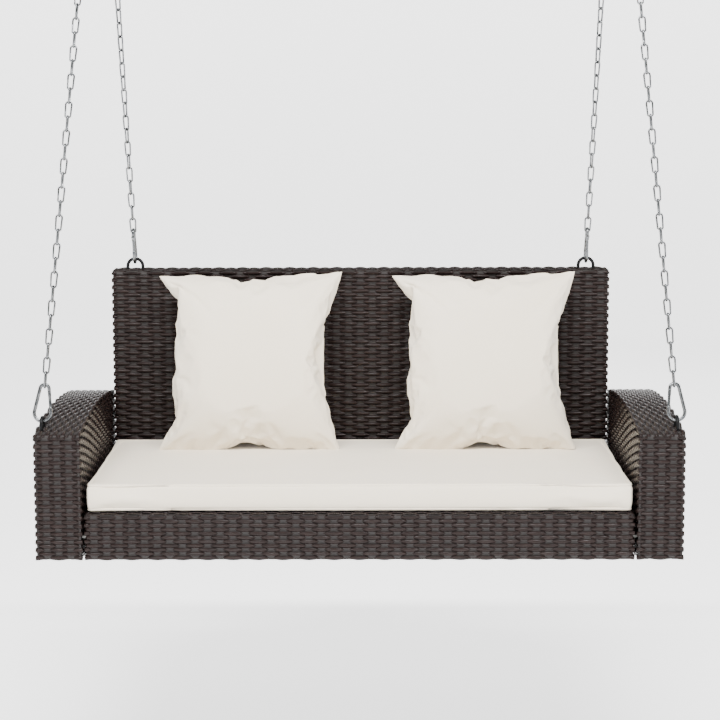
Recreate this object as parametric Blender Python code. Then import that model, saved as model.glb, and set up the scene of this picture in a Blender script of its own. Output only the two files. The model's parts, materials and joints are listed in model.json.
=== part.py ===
"""A two-seat woven porch swing: seat, back and arms of plastic strands woven over welded tube frames,
loose cushions, and two chains that each hang from a ceiling hook.

Sizes are in metres. Y runs from front to back. Heights below are measured from the seat's underside,
and the whole object is then lowered so that the origin lies on the ceiling, midway between the hooks.
"""

import math

import bmesh
import bpy
from mathutils import Matrix, Vector

# Seat, back and arms
WIDTH = 1.280
DEPTH = 0.560
BACK_HEIGHT = 0.525
BACK_THICKNESS = 0.045
BACK_CORNER = 0.008
HOLLOW_CORNER = 0.0006
SEAT_HEIGHT = 0.094
ARM_WIDTH = 0.094
ARM_EDGE_HEIGHT = 0.2510
ARM_CROWN_HEIGHT = 0.273
ARM_CORNER = 0.007
ARM_GAP = 0.0045
BACK_GAP = 0.0015
BACK_END_GAP = 0.0035

# Woven skin and the tube frames under it
SKIN = 0.003
GAP = 0.0004
TUBE = 0.020
TUBE_WALL = 0.0012
BACK_TUBE_DEPTH = 0.038
BAR = 0.019
BACK_BAR_SLACK = 0.001
FRAME_FOOT = 0.0005
SEAT_BARS_X = (-0.270, 0.0, 0.270)
BACK_BARS_X = (-0.180, 0.180)
VENT = 0.006
VENT_OFFSET = 0.05
HOLLOW_DROP = 0.05
TUBE_SLACK = 0.0001
ARM_RUNGS_Y = (-0.16, 0.16)

# Bolts: a hexagon head, and a shank that ends inside the second tube
BOLT_RADIUS = 0.003
BOLT_HOLE_RADIUS = 0.0036
BOLT_HOLE_LENGTH = 0.056
BOLT_HEAD_RADIUS = 0.0056
BOLT_HEAD_LENGTH = 0.004
BOLT_LENGTH = 0.037
ARM_BOLT_YZ = ((-0.2666, 0.045), (-0.100, 0.0105), (0.100, 0.0105))
BACK_BOLT_YZ = ((0.2666, 0.060), (0.2666, 0.200))
BACK_RAIL_BOLT_Z = 0.0806

# Hanging loops
LOOP_ROD = 0.0035
LOOP_RADIUS = 0.0165
LOOP_RISE = 0.025
LOOP_FRONT_Y = -0.235
LOOP_BACK_X = 0.494
LEG_GAP = 0.0001
LOOP_HOLE_ROOM = 0.0007
LOOP_HOLE_LENGTH = 0.04

# Carabiners
CLIP_ROD = 0.0035
CLIP_LENGTH = 0.073
CLIP_WIDE_RADIUS = 0.0165
CLIP_NARROW_RADIUS = 0.009
CLIP_CONTACT = 0.0008
GATE_ROD = 0.003
GATE_NOSE_AT = 0.16
GATE_HINGE_AT = 0.84
GATE_NOSE_GAP = 0.0004
HINGE_ROOM = 0.0045
TONGUE = (0.0028, 0.0026, 0.0013)
CHEEK = (0.0028, 0.0028, 0.0016)
CHEEK_INNER = 0.00165
PIN_RADIUS = 0.0011
PIN_HOLE_RADIUS = 0.0015
PIN_HOLE_REACH = 0.01
PIN_HEAD_RADIUS = 0.0023
PIN_HEAD_LENGTH = 0.0008

# Chains, their gathering rings, and what holds them up
LINK_WIRE = 0.002
LINK_LENGTH = 0.036
LINK_WIDTH = 0.016
FRONT_LINKS = 46
BACK_LINKS = 36
FRONT_TWIST = 0.0
BACK_TWIST = math.radians(90)
RING_X = 0.524
RING_HEIGHT = 1.630
RING_RADIUS = 0.020
RING_ROD = 0.003
RING_CONTACT = 0.0014
HOOK_ROD = 0.004
HOOK_RADIUS = 0.016
HOOK_TIP_ANGLE = math.radians(155)
HOOK_NECK_ANGLE = math.radians(50)
HOOK_SHANK = 0.006
HOOK_CONTACT = 0.0005
PLATE = (0.038, 0.086, 0.004)
PLATE_HOLE_RADIUS = 0.0032
PLATE_HOLE_Y = 0.031
SCREW_RADIUS = 0.0026
SCREW_LENGTH = 0.045
SCREW_HEAD_RADIUS = 0.0058
SCREW_HEAD_LENGTH = 0.0038
SCREW_POINT = 0.008
SCREW_TIP_RADIUS = 0.0008

# How far behind the middle of the seat the hooks are: the hanging weight balances there
HANG_Y = 0.067

# Cushions
CUSHION = (1.087, 0.500, 0.055)
CUSHION_FRONT_Y = -0.272
CUSHION_CORNER = 0.014
CUSHION_EDGE = 0.006
SAME_HEIGHT = 0.001
PILLOW_SIDE = 0.386
PILLOW_THICKNESS = 0.112
PILLOW_LEAN = math.radians(16.5)
PILLOW_LEFT_X = -0.236
PILLOW_RIGHT_X = 0.268
PILLOW_FOOT_Y = 0.098
PILLOW_GRID = 8
PILLOW_PULL = 0.045
ARM_STEPS = 8
SOFT_GAP = 0.0015

FRONT = -DEPTH / 2
REAR = DEPTH / 2
ARM_INNER_X = WIDTH / 2 - ARM_WIDTH
ARM_TUBE_X = WIDTH / 2 - SKIN - GAP - TUBE / 2
SEAT_HALF = ARM_INNER_X - ARM_GAP
BACK_HALF = ARM_INNER_X - BACK_END_GAP
BACK_FRONT = REAR - BACK_THICKNESS
SEAT_REAR = BACK_FRONT - BACK_GAP
INSET = SKIN + GAP + TUBE / 2
LOOP_BACK_Y = (BACK_FRONT + REAR) / 2
HOOK_AXIS_RISE = RING_RADIUS - RING_ROD - HOOK_ROD - HOOK_CONTACT
HOOK_NECK_RADIUS = HOOK_RADIUS * math.cos(HOOK_NECK_ANGLE) / (1 - math.cos(HOOK_NECK_ANGLE))
HOOK_HEIGHT = (
    HOOK_RADIUS + (HOOK_RADIUS + HOOK_NECK_RADIUS) * math.sin(HOOK_NECK_ANGLE) + HOOK_SHANK
)
HOOK_AXIS_HEIGHT = RING_HEIGHT + HOOK_AXIS_RISE
CEILING = HOOK_AXIS_HEIGHT + HOOK_HEIGHT + GAP + PLATE[2]
SIDES = (("left", -1), ("right", 1))


# ---- Shapes as meshes


def mesh_from(verts, faces):
    mesh = bpy.data.meshes.new("shape")
    mesh.from_pydata([tuple(v) for v in verts], [], faces)
    grid = bmesh.new()
    grid.from_mesh(mesh)
    bmesh.ops.recalc_face_normals(grid, faces=grid.faces)
    if grid.calc_volume(signed=True) < 0:
        bmesh.ops.reverse_faces(grid, faces=grid.faces)
    grid.to_mesh(mesh)
    grid.free()
    return mesh


def block(low, high):
    """A rectangular block between two corners."""
    corners = [(x, y, z) for x in (low[0], high[0]) for y in (low[1], high[1]) for z in (low[2], high[2])]
    faces = [(0, 1, 3, 2), (4, 6, 7, 5), (0, 4, 5, 1), (2, 3, 7, 6), (0, 2, 6, 4), (1, 5, 7, 3)]
    return mesh_from(corners, faces)


def block_at(centre, size):
    half = Vector(size) / 2
    return block(Vector(centre) - half, Vector(centre) + half)


def on_axis(axis, along, u, v):
    """The point whose coordinate on the axis is along, and whose other two are u and v, in X, Y, Z order."""
    point = [u, v]
    point.insert("XYZ".index(axis), along)
    return Vector(point)


def prism(outline, axis, low, high):
    """An outline in the plane across the axis, extruded from low to high along it."""
    n = len(outline)
    verts = [on_axis(axis, at, u, v) for at in (low, high) for u, v in outline]
    faces = [tuple(range(n)), tuple(range(2 * n - 1, n - 1, -1))]
    faces += [(i, (i + 1) % n, n + (i + 1) % n, n + i) for i in range(n)]
    return mesh_from(verts, faces)


def ring_prism(outer, inner, axis, low, high):
    """A closed band between two outlines of as many points, extruded along the axis."""
    n = len(outer)
    verts = [on_axis(axis, at, u, v) for at in (low, high) for line in (outer, inner) for u, v in line]
    faces = []
    for i in range(n):
        j = (i + 1) % n
        faces += [(i, j, n + j, n + i), (2 * n + i, 3 * n + i, 3 * n + j, 2 * n + j)]
        faces += [(i, 2 * n + i, 2 * n + j, j), (n + i, n + j, 3 * n + j, 3 * n + i)]
    return mesh_from(verts, faces)


def offset(outline, distance):
    """A closed anticlockwise outline moved outwards by the distance, with mitred corners."""
    moved = []
    for i, here in enumerate(outline):
        before, after = outline[i - 1], outline[(i + 1) % len(outline)]
        a = Vector(here) - Vector(before)
        b = Vector(after) - Vector(here)
        a, b = a.normalized(), b.normalized()
        normal_a, normal_b = Vector((a.y, -a.x)), Vector((b.y, -b.x))
        mitre = (normal_a + normal_b) / (1 + normal_a.dot(normal_b))
        moved.append(Vector(here) + mitre * distance)
    return moved


def turned(profile, base, direction, sides):
    """A solid turned about a line: profile holds (distance along the line, radius) pairs."""
    direction = Vector(direction).normalized()
    across = direction.orthogonal().normalized()
    other = direction.cross(across)
    verts, faces = [], []
    for along, radius in profile:
        for i in range(sides):
            turn = 2 * math.pi * (i + 0.5) / sides
            verts.append(
                Vector(base) + direction * along + (across * math.cos(turn) + other * math.sin(turn)) * radius
            )
    rows = len(profile)
    for row in range(rows - 1):
        for i in range(sides):
            j = (i + 1) % sides
            faces.append((row * sides + i, row * sides + j, (row + 1) * sides + j, (row + 1) * sides + i))
    faces += [tuple(range(sides)), tuple(range((rows - 1) * sides, rows * sides))]
    return mesh_from(verts, faces)


def bar_along(path, across, radius, sides, closed=False):
    """A round bar along a flat path. across is the direction at right angles to the path's plane."""
    across = Vector(across).normalized()
    n = len(path)
    verts, faces = [], []
    for i, here in enumerate(path):
        before = path[i - 1] if closed or i else here
        after = path[(i + 1) % n] if closed or i < n - 1 else here
        a, b = (here - before), (after - here)
        a = (a if a.length else b).normalized()
        b = (b if b.length else a).normalized()
        tangent = (a + b).normalized()
        side = tangent.cross(across)
        stretch = 1 / max(0.3, tangent.dot(b))
        for k in range(sides):
            turn = 2 * math.pi * (k + 0.5) / sides
            out, over = radius * stretch * math.cos(turn), radius * math.sin(turn)
            verts.append(here + side * out + across * over)
    for i in range(n if closed else n - 1):
        for k in range(sides):
            j, m = (i + 1) % n, (k + 1) % sides
            faces.append((i * sides + k, i * sides + m, j * sides + m, j * sides + k))
    if not closed:
        faces += [tuple(range(sides)), tuple(range((n - 1) * sides, n * sides))]
    return mesh_from(verts, faces)


def arc(centre, radius, start, end, steps):
    """Points along an arc in a plane, from one angle to the other."""
    turns = [start + (end - start) * i / steps for i in range(steps + 1)]
    return [Vector((centre[0] + radius * math.cos(t), centre[1] + radius * math.sin(t))) for t in turns]


def boolean(operation, first, others):
    """The mesh left when the others are joined to the first, or cut from it, one after another."""
    base = bpy.data.objects.new("base", first)
    bpy.context.scene.collection.objects.link(base)
    tools = []
    for mesh in others:
        tool = bpy.data.objects.new("tool", mesh)
        bpy.context.scene.collection.objects.link(tool)
        modifier = base.modifiers.new("cut", "BOOLEAN")
        modifier.operation = operation
        modifier.object = tool
        tools.append(tool)
    bpy.context.view_layer.update()
    result = bpy.data.meshes.new_from_object(base.evaluated_get(bpy.context.evaluated_depsgraph_get()))
    for obj in [base, *tools]:
        bpy.data.objects.remove(obj)
    return result


def union(first, *others):
    return boolean("UNION", first, others)


def cut(first, *others):
    return boolean("DIFFERENCE", first, others)


def merged(meshes):
    """Several meshes as one, with no shape joined to another."""
    grid = bmesh.new()
    for mesh in meshes:
        grid.from_mesh(mesh)
    whole = bpy.data.meshes.new("shape")
    grid.to_mesh(whole)
    grid.free()
    return whole


# ---- Objects


def material(name, colour, roughness, metallic=0.0):
    made = bpy.data.materials.new(name)
    made.use_nodes = True
    shader = made.node_tree.nodes["Principled BSDF"]
    shader.inputs["Base Color"].default_value = (*colour, 1)
    shader.inputs["Roughness"].default_value = roughness
    shader.inputs["Metallic"].default_value = metallic
    return made


def empty(name, place, parent=None):
    """A joint's axis, or the frame that holds everything. place is measured in the seat's own heights."""
    made = bpy.data.objects.new(name, None)
    bpy.context.scene.collection.objects.link(made)
    made.location = Vector(place)
    made.parent = parent
    made["place"] = list(place)
    if parent:
        made.location -= Vector(parent["place"])
    return made


def piece(name, mesh, finish, body, smooth=None):
    """An object of its own for a mesh that is already in place, with its origin on its body's axis."""
    place = Vector(body["place"])
    mesh.transform(Matrix.Translation(-place))
    mesh.materials.clear()
    mesh.materials.append(finish)
    if smooth:
        mesh.shade_smooth()
        mesh.set_sharp_from_angle(angle=math.radians(smooth))
    made = bpy.data.objects.new(name, mesh)
    bpy.context.scene.collection.objects.link(made)
    made.parent = body
    return made


# ---- Woven skins and tube frames


ARM_RISE = ARM_CROWN_HEIGHT - ARM_EDGE_HEIGHT
ARM_TOP_RADIUS = (REAR**2 + ARM_RISE**2) / (2 * ARM_RISE)


def arm_top(y, inset=0.0):
    """The height of the arm's shallow arc over a point, moved in by the inset."""
    radius = ARM_TOP_RADIUS
    return ARM_CROWN_HEIGHT - radius + math.sqrt((radius - inset) ** 2 - y**2)


def arm_outline(inset):
    """The arm's skin from the side, as (y, z) points, moved in by the inset, with rounded corners."""
    edge = REAR - inset
    corner = HOLLOW_CORNER if inset else ARM_CORNER
    flat = edge - corner
    arc_ys = [flat * (1 - 2 * i / ARM_STEPS) for i in range(ARM_STEPS + 1)]
    shoulder = 0.3 * corner
    right = [(edge, arm_top(edge, inset) - corner), (edge - shoulder, arm_top(edge, inset) - shoulder)]
    left = [(-y, z) for y, z in reversed(right)]
    top = [(y, arm_top(y, inset)) for y in arc_ys]
    return [Vector(point) for point in [(-edge, inset), (edge, inset), *right, *top, *left]]


def arm_tube_path():
    """The middle line of an arm's closed tube, as (y, z) points, with mitred corners."""
    edge, foot = REAR - INSET, FRAME_FOOT + TUBE / 2
    arc_ys = [edge * (1 - 2 * i / ARM_STEPS) for i in range(ARM_STEPS + 1)]
    top = [(y, arm_top(y, INSET)) for y in arc_ys]
    return [Vector(point) for point in [(-edge, foot), (edge, foot), *top]]


def back_outline(inset):
    half, top = BACK_HALF - inset, BACK_HEIGHT - inset
    corner = HOLLOW_CORNER if inset else BACK_CORNER
    right = arc((half - corner, top - corner), corner, 0, math.pi / 2, 3)
    left = arc((-half + corner, top - corner), corner, math.pi / 2, math.pi, 3)
    return [Vector((-half, inset)), Vector((half, inset)), *right, *left]


def back_tube_path():
    half, foot, top = BACK_HALF - INSET, FRAME_FOOT + TUBE / 2, BACK_HEIGHT - INSET
    return [Vector(point) for point in ((-half, foot), (half, foot), (half, top), (-half, top))]


def seat_outline(inset):
    half = SEAT_HALF - inset
    low, high = FRONT + inset, SEAT_REAR - inset
    return [Vector(point) for point in ((-half, low), (half, low), (half, high), (-half, high))]


def open_below(outline):
    """The same outline, carried down past the underside, for cutting a skin's hollow open."""
    foot = min(point[1] for point in outline)
    return [Vector((u, -HOLLOW_DROP)) if v < foot + TUBE_SLACK else Vector((u, v)) for u, v in outline]


def down_to_floor(outline):
    foot = min(point[1] for point in outline)
    return [Vector((u, 0.0)) if v < foot + 0.0001 else Vector((u, v)) for u, v in outline]


def tube_loop(outline, axis, centre, depth, bore):
    """One closed tube along an outline, or the bore inside it."""
    half = TUBE / 2 - (TUBE_WALL if bore else 0)
    reach = depth / 2 - (TUBE_WALL if bore else 0)
    return ring_prism(offset(outline, half), offset(outline, -half), axis, centre - reach, centre + reach)


def tube_bar(start, end, across, bore):
    """A straight tube between two points along one of the axes. across is its width in X, Y and Z."""
    thin = 2 * TUBE_WALL if bore else 0
    low = Vector([min(a, b) - w / 2 + (thin / 2 if w else 0) for a, b, w in zip(start, end, across)])
    high = Vector([max(a, b) + w / 2 - (thin / 2 if w else 0) for a, b, w in zip(start, end, across)])
    return block(low, high)


def tube_frame(loops, bars, vents, holes):
    """A welded frame of hollow tubes: loops and bars as one body, bored through, with vents to the air."""
    solid = [tube_loop(*loop, bore=False) for loop in loops] + [tube_bar(*bar, bore=False) for bar in bars]
    bores = [tube_loop(*loop, bore=True) for loop in loops] + [tube_bar(*bar, bore=True) for bar in bars]
    openings = [block_at(vent, (VENT, VENT, VENT)) for vent in vents]
    return cut(union(*solid), union(*bores), *openings, *holes)


def hole(point, direction, length, radius):
    """A cutter for a round hole, centred on a point."""
    direction = Vector(direction)
    return turned(((-length / 2, radius), (length / 2, radius)), point, direction, 6)


def side_bolt_holes(side, rows):
    """Holes along X, where bolts pass between an arm and what stands beside it."""
    return [hole((side * ARM_INNER_X, y, z), (1, 0, 0), BOLT_HOLE_LENGTH, BOLT_HOLE_RADIUS) for y, z in rows]


def back_bolt_holes():
    return [
        hole((x, BACK_FRONT, BACK_RAIL_BOLT_Z), (0, 1, 0), BOLT_HOLE_LENGTH, BOLT_HOLE_RADIUS)
        for x in BACK_BARS_X
    ]


def loop_hole(point):
    """A cutter for a loop's leg, round a point of the skin."""
    return hole(point, (0, 0, 1), LOOP_HOLE_LENGTH, LOOP_ROD + LOOP_HOLE_ROOM)


def arm_parts(side):
    inner_x, outer_x = ARM_INNER_X + INSET, ARM_TUBE_X
    low, high = sorted((side * ARM_INNER_X, side * WIDTH / 2))
    holes = side_bolt_holes(side, ARM_BOLT_YZ + BACK_BOLT_YZ)
    loops = [(arm_tube_path(), "X", side * x, TUBE) for x in (inner_x, outer_x)]
    foot = FRAME_FOOT + TUBE / 2
    crown = ARM_CROWN_HEIGHT - INSET
    rungs = [(y, foot) for y in ARM_RUNGS_Y] + [(0.0, crown)]
    bars = [
        ((side * inner_x, y, z), (side * outer_x, y, z), (0, BAR, BAR)) for y, z in rungs
    ]
    frame = tube_frame(loops, bars, [(side * outer_x, VENT_OFFSET, FRAME_FOOT)], holes)
    legs = [
        loop_hole((side * ARM_TUBE_X, LOOP_FRONT_Y + shift, arm_top(LOOP_FRONT_Y)))
        for shift in (-LOOP_RADIUS, LOOP_RADIUS)
    ]
    hollow = prism(open_below(arm_outline(SKIN)), "X", low + SKIN, high - SKIN)
    skin = cut(prism(down_to_floor(arm_outline(0)), "X", low, high), hollow, *legs, *holes)
    return frame, skin


def back_parts():
    centre = BACK_FRONT + SKIN + GAP + TUBE_SLACK + BACK_TUBE_DEPTH / 2
    path = back_tube_path()
    foot = path[0].y
    bars = [
        ((x, centre, foot), (x, centre, BACK_HEIGHT - INSET), (BAR, BACK_TUBE_DEPTH - BACK_BAR_SLACK, 0))
        for x in BACK_BARS_X
    ]
    holes = back_bolt_holes()
    for _, side in SIDES:
        holes += side_bolt_holes(side, BACK_BOLT_YZ)
    loops = [(path, "Y", centre, BACK_TUBE_DEPTH)]
    frame = tube_frame(loops, bars, [(VENT_OFFSET, centre, FRAME_FOOT)], holes)
    legs = [
        loop_hole((side * LOOP_BACK_X + shift, LOOP_BACK_Y, BACK_HEIGHT))
        for _, side in SIDES
        for shift in (-LOOP_RADIUS, LOOP_RADIUS)
    ]
    hollow = prism(open_below(back_outline(SKIN)), "Y", BACK_FRONT + SKIN, REAR - SKIN)
    skin = cut(prism(down_to_floor(back_outline(0)), "Y", BACK_FRONT, REAR), hollow, *legs, *holes)
    return frame, skin


def seat_parts():
    path = seat_outline(INSET)
    foot, top = FRAME_FOOT + TUBE / 2, SEAT_HEIGHT - INSET
    posts = [((x, y, foot), (x, y, top), (BAR, BAR, 0)) for x, y in path]
    bars = [((x, path[0].y, top), (x, path[2].y, top), (BAR, 0, BAR)) for x in SEAT_BARS_X]
    holes = back_bolt_holes()
    for _, side in SIDES:
        holes += side_bolt_holes(side, ARM_BOLT_YZ)
    loops = [(path, "Z", z, TUBE) for z in (foot, top)]
    frame = tube_frame(loops, posts + bars, [(VENT_OFFSET, path[0].y, FRAME_FOOT)], holes)
    low, high = Vector((-SEAT_HALF, FRONT, 0)), Vector((SEAT_HALF, SEAT_REAR, SEAT_HEIGHT))
    wall = Vector((SKIN, SKIN, SKIN))
    hollow = block(low + wall - Vector((0, 0, HOLLOW_DROP)), high - wall)
    return frame, cut(block(low, high), hollow, *holes)


def bolt(base, direction, length):
    """A hexagon-headed bolt. base is where the head meets the tube's wall."""
    profile = (
        (-BOLT_HEAD_LENGTH, BOLT_HEAD_RADIUS),
        (0.0, BOLT_HEAD_RADIUS),
        (0.0, BOLT_RADIUS),
        (length, BOLT_RADIUS),
    )
    return turned(profile, base, direction, 6)


# ---- Hanging loops, carabiners, chains, rings and hooks


def loop_mesh(foot, along, leg):
    """An upright U of round rod with its legs down. foot is the middle between its legs, on the surface."""
    centre = LOOP_RISE - LOOP_RADIUS - LOOP_ROD
    curve = arc((0, centre), LOOP_RADIUS, 0, math.pi, 10)
    flat = [Vector((LOOP_RADIUS, -leg)), *curve, Vector((-LOOP_RADIUS, -leg))]
    along = Vector(along)
    path = [Vector(foot) + along * u + Vector((0, 0, v)) for u, v in flat]
    return bar_along(path, along.cross(Vector((0, 0, 1))), LOOP_ROD, 8)


def gate_line():
    """Where the straight side of a carabiner meets its wide and narrow ends, as (along, across) points."""
    narrow_centre = CLIP_LENGTH - CLIP_NARROW_RADIUS
    slope = math.asin((CLIP_WIDE_RADIUS - CLIP_NARROW_RADIUS) / (narrow_centre - CLIP_WIDE_RADIUS))
    side = Vector((math.sin(slope), math.cos(slope)))
    wide = Vector((CLIP_WIDE_RADIUS, 0)) + side * CLIP_WIDE_RADIUS
    narrow = Vector((narrow_centre, 0)) + side * CLIP_NARROW_RADIUS
    return wide, narrow, slope


def oriented_block(centre, along, size, offset_z=0.0):
    """A block in the carabiner's own plane, turned to lie along a direction. size is full size."""
    turn = math.atan2(along.y, along.x)
    mesh = block_at((0, 0, offset_z), size)
    mesh.transform(Matrix.Translation((centre.x, centre.y, 0)) @ Matrix.Rotation(turn, 4, "Z"))
    return mesh


def carabiner_meshes():
    """The rod body, the gate and the rivet, in the plane of X (along) and Y (across), gate on the +Y side."""
    wide, narrow, slope = gate_line()
    hinge = wide.lerp(narrow, GATE_HINGE_AT)
    nose = wide.lerp(narrow, GATE_NOSE_AT)
    up = (narrow - wide).normalized()
    quarter = math.pi / 2
    wide_arc = arc((CLIP_WIDE_RADIUS, 0), CLIP_WIDE_RADIUS, quarter - slope, 3 * quarter + slope, 9)
    narrow_arc = arc((CLIP_LENGTH - CLIP_NARROW_RADIUS, 0), CLIP_NARROW_RADIUS,
                     slope - quarter, quarter - slope, 5)
    flat = [nose, *wide_arc, *narrow_arc, hinge + up * HINGE_ROOM]
    path = [Vector((p.x, p.y, 0)) for p in flat]
    body = bar_along(path, (0, 0, 1), CLIP_ROD, 6)
    tongue_end, tongue_half, tongue_thin = TONGUE
    tongue_length = tongue_end + HINGE_ROOM + CLIP_ROD
    tongue_centre = hinge + up * (tongue_length / 2 - tongue_end)
    tongue = oriented_block(tongue_centre, up, (tongue_length, 2 * tongue_half, 2 * tongue_thin))
    pin_hole = hole(hinge.to_3d(), (0, 0, 1), 2 * PIN_HOLE_REACH, PIN_HOLE_RADIUS)
    body = cut(union(body, tongue), pin_hole)

    start, end = hinge - up * HINGE_ROOM, nose + up * GATE_NOSE_GAP
    bar_profile = ((0, GATE_ROD), ((end - start).length, GATE_ROD))
    bar = turned(bar_profile, start.to_3d(), (end - start).to_3d(), 8)
    cheek_end, cheek_half, cheek_thick = CHEEK
    cheek_length = cheek_end + HINGE_ROOM + GATE_ROD
    cheek_centre = hinge - up * (cheek_length / 2 - cheek_end)
    cheeks = [
        oriented_block(cheek_centre, up, (cheek_length, 2 * cheek_half, cheek_thick), at)
        for at in (-CHEEK_INNER - cheek_thick / 2, CHEEK_INNER + cheek_thick / 2)
    ]
    pin_hole = hole(hinge.to_3d(), (0, 0, 1), 2 * PIN_HOLE_REACH, PIN_HOLE_RADIUS)
    gate = cut(union(bar, *cheeks), pin_hole)

    reach = CHEEK_INNER + cheek_thick + GAP
    profile = (
        (-reach - PIN_HEAD_LENGTH, PIN_HEAD_RADIUS),
        (-reach, PIN_HEAD_RADIUS),
        (-reach, PIN_RADIUS),
        (reach, PIN_RADIUS),
        (reach, PIN_HEAD_RADIUS),
        (reach + PIN_HEAD_LENGTH, PIN_HEAD_RADIUS),
    )
    return body, gate, turned(profile, hinge.to_3d(), (0, 0, 1), 8), hinge


def frame_along(origin, along, across):
    """The matrix that carries X to along, Y to the nearest direction to across, and the origin to a point."""
    along = along.normalized()
    across = (across - along * across.dot(along)).normalized()
    matrix = Matrix((along, across, along.cross(across))).transposed().to_4x4()
    matrix.translation = origin
    return matrix


def link_mesh(start, end, across):
    """One chain link between the centres of its two end bars: a rectangle of wire, an edge of it inwards."""
    along = (end - start).normalized()
    across = (across - along * across.dot(along)).normalized() * (LINK_WIDTH / 2 - LINK_WIRE)
    path = [start - across, end - across, end + across, start + across]
    return bar_along(path, along.cross(across), LINK_WIRE, 3, closed=True)


def chain_leg(top, bottom, links, twist):
    """A taut run of links between the centres of its outermost end bars, each turned from the last."""
    along = (bottom - top).normalized()
    bar_to_bar = LINK_LENGTH - 2 * LINK_WIRE
    pitch = ((bottom - top).length - bar_to_bar) / (links - 1)
    first_across = (Vector((1, 0, 0)) - along * along.x).normalized()
    odd_and_even = ([], [])
    for i in range(links):
        start = top + along * (pitch * i)
        turn = Matrix.Rotation(i * math.pi / 2 + twist * i / (links - 1), 3, along)
        odd_and_even[i % 2].append(link_mesh(start, start + along * bar_to_bar, turn @ first_across))
    return union(merged(odd_and_even[0]), merged(odd_and_even[1]))


def hook_mesh(side, axis_point):
    """A bent rod whose lowest point is the axis point: an open hook under a neck that leads back in line."""
    curve = arc((0, HOOK_RADIUS), HOOK_RADIUS, HOOK_TIP_ANGLE, 2 * math.pi + HOOK_NECK_ANGLE, 14)
    neck_centre = (
        (HOOK_RADIUS + HOOK_NECK_RADIUS) * math.cos(HOOK_NECK_ANGLE),
        HOOK_RADIUS + (HOOK_RADIUS + HOOK_NECK_RADIUS) * math.sin(HOOK_NECK_ANGLE),
    )
    neck = arc(neck_centre, HOOK_NECK_RADIUS, math.pi + HOOK_NECK_ANGLE, math.pi, 4)[1:]
    flat = [*curve, *neck, neck[-1] + Vector((0, HOOK_SHANK))]
    path = [axis_point + Vector((side * u, 0, v)) for u, v in flat]
    return bar_along(path, (0, 1, 0), HOOK_ROD, 8)


def ceiling_plate(centre):
    """A flat plate with two screw holes. centre is the middle of its upper face."""
    middle = centre - Vector((0, 0, PLATE[2] / 2))
    holes = [
        hole(middle + Vector((0, y, 0)), (0, 0, 1), 3 * PLATE[2], PLATE_HOLE_RADIUS)
        for y in (-PLATE_HOLE_Y, PLATE_HOLE_Y)
    ]
    return cut(block_at(middle, PLATE), *holes)


def lag_screw(base):
    """A hexagon-headed wood screw. base is on the plate's lower face, and the shank goes up."""
    profile = (
        (-SCREW_HEAD_LENGTH - GAP, SCREW_HEAD_RADIUS),
        (-GAP, SCREW_HEAD_RADIUS),
        (-GAP, SCREW_RADIUS),
        (SCREW_LENGTH - SCREW_POINT, SCREW_RADIUS),
        (SCREW_LENGTH, SCREW_TIP_RADIUS),
    )
    return turned(profile, base, (0, 0, 1), 6)


# ---- Cushions


def seat_cushion():
    """A long boxed cushion with rounded upright corners."""
    half_x, half_y = CUSHION[0] / 2, CUSHION[1] / 2
    centre_y = CUSHION_FRONT_Y + half_y
    outline = []
    for i, (sx, sy) in enumerate(((1, 1), (-1, 1), (-1, -1), (1, -1))):
        corner = (sx * (half_x - CUSHION_CORNER), centre_y + sy * (half_y - CUSHION_CORNER))
        outline += arc(corner, CUSHION_CORNER, i * math.pi / 2, (i + 1) * math.pi / 2, 4)
    foot = SEAT_HEIGHT + SOFT_GAP
    solid = prism(outline, "Z", foot, foot + CUSHION[2])
    grid = bmesh.new()
    grid.from_mesh(solid)
    rims = [e for e in grid.edges if abs(e.verts[0].co.z - e.verts[1].co.z) < SAME_HEIGHT]
    bmesh.ops.bevel(grid, geom=rims, offset=CUSHION_EDGE, segments=2, profile=0.5, affect="EDGES")
    grid.to_mesh(solid)
    grid.free()
    return solid


def pillow(x):
    """A square pillow: two bulged faces that meet along its edges, leaning back against the swing's back."""
    half = PILLOW_SIDE / 2
    n = PILLOW_GRID
    verts, index = [], {}

    def bulge(u, v):
        return PILLOW_THICKNESS / 2 * (max(0.0, (1 - u**2) * (1 - v**2))) ** 0.5

    def pull(u, v):
        return 1 - PILLOW_PULL * (1 - v**2) * abs(u)

    for face in (1, -1):
        for i in range(n + 1):
            for j in range(n + 1):
                u = math.sin(math.pi / 2 * (2 * i / n - 1))
                v = math.sin(math.pi / 2 * (2 * j / n - 1))
                rim = i in (0, n) or j in (0, n)
                if face < 0 and rim:
                    index[face, i, j] = index[1, i, j]
                    continue
                index[face, i, j] = len(verts)
                verts.append(Vector((half * u * pull(u, v), face * bulge(u, v), half * v * pull(v, u))))
    faces = []
    for face in (1, -1):
        for i in range(n):
            for j in range(n):
                faces.append([index[face, a, b] for a, b in ((i, j), (i + 1, j), (i + 1, j + 1), (i, j + 1))])
    solid = mesh_from(verts, faces)
    foot = SEAT_HEIGHT + SOFT_GAP + CUSHION[2] + SOFT_GAP
    lean = Matrix.Rotation(-PILLOW_LEAN, 4, "X")
    placed = Matrix.Translation((x, PILLOW_FOOT_Y, foot)) @ lean @ Matrix.Translation((0, 0, half))
    solid.transform(placed)
    lowest = min(v.co.z for v in solid.vertices)
    solid.transform(Matrix.Translation((0, 0, foot - lowest)))
    return solid


# ---- The whole swing


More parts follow.
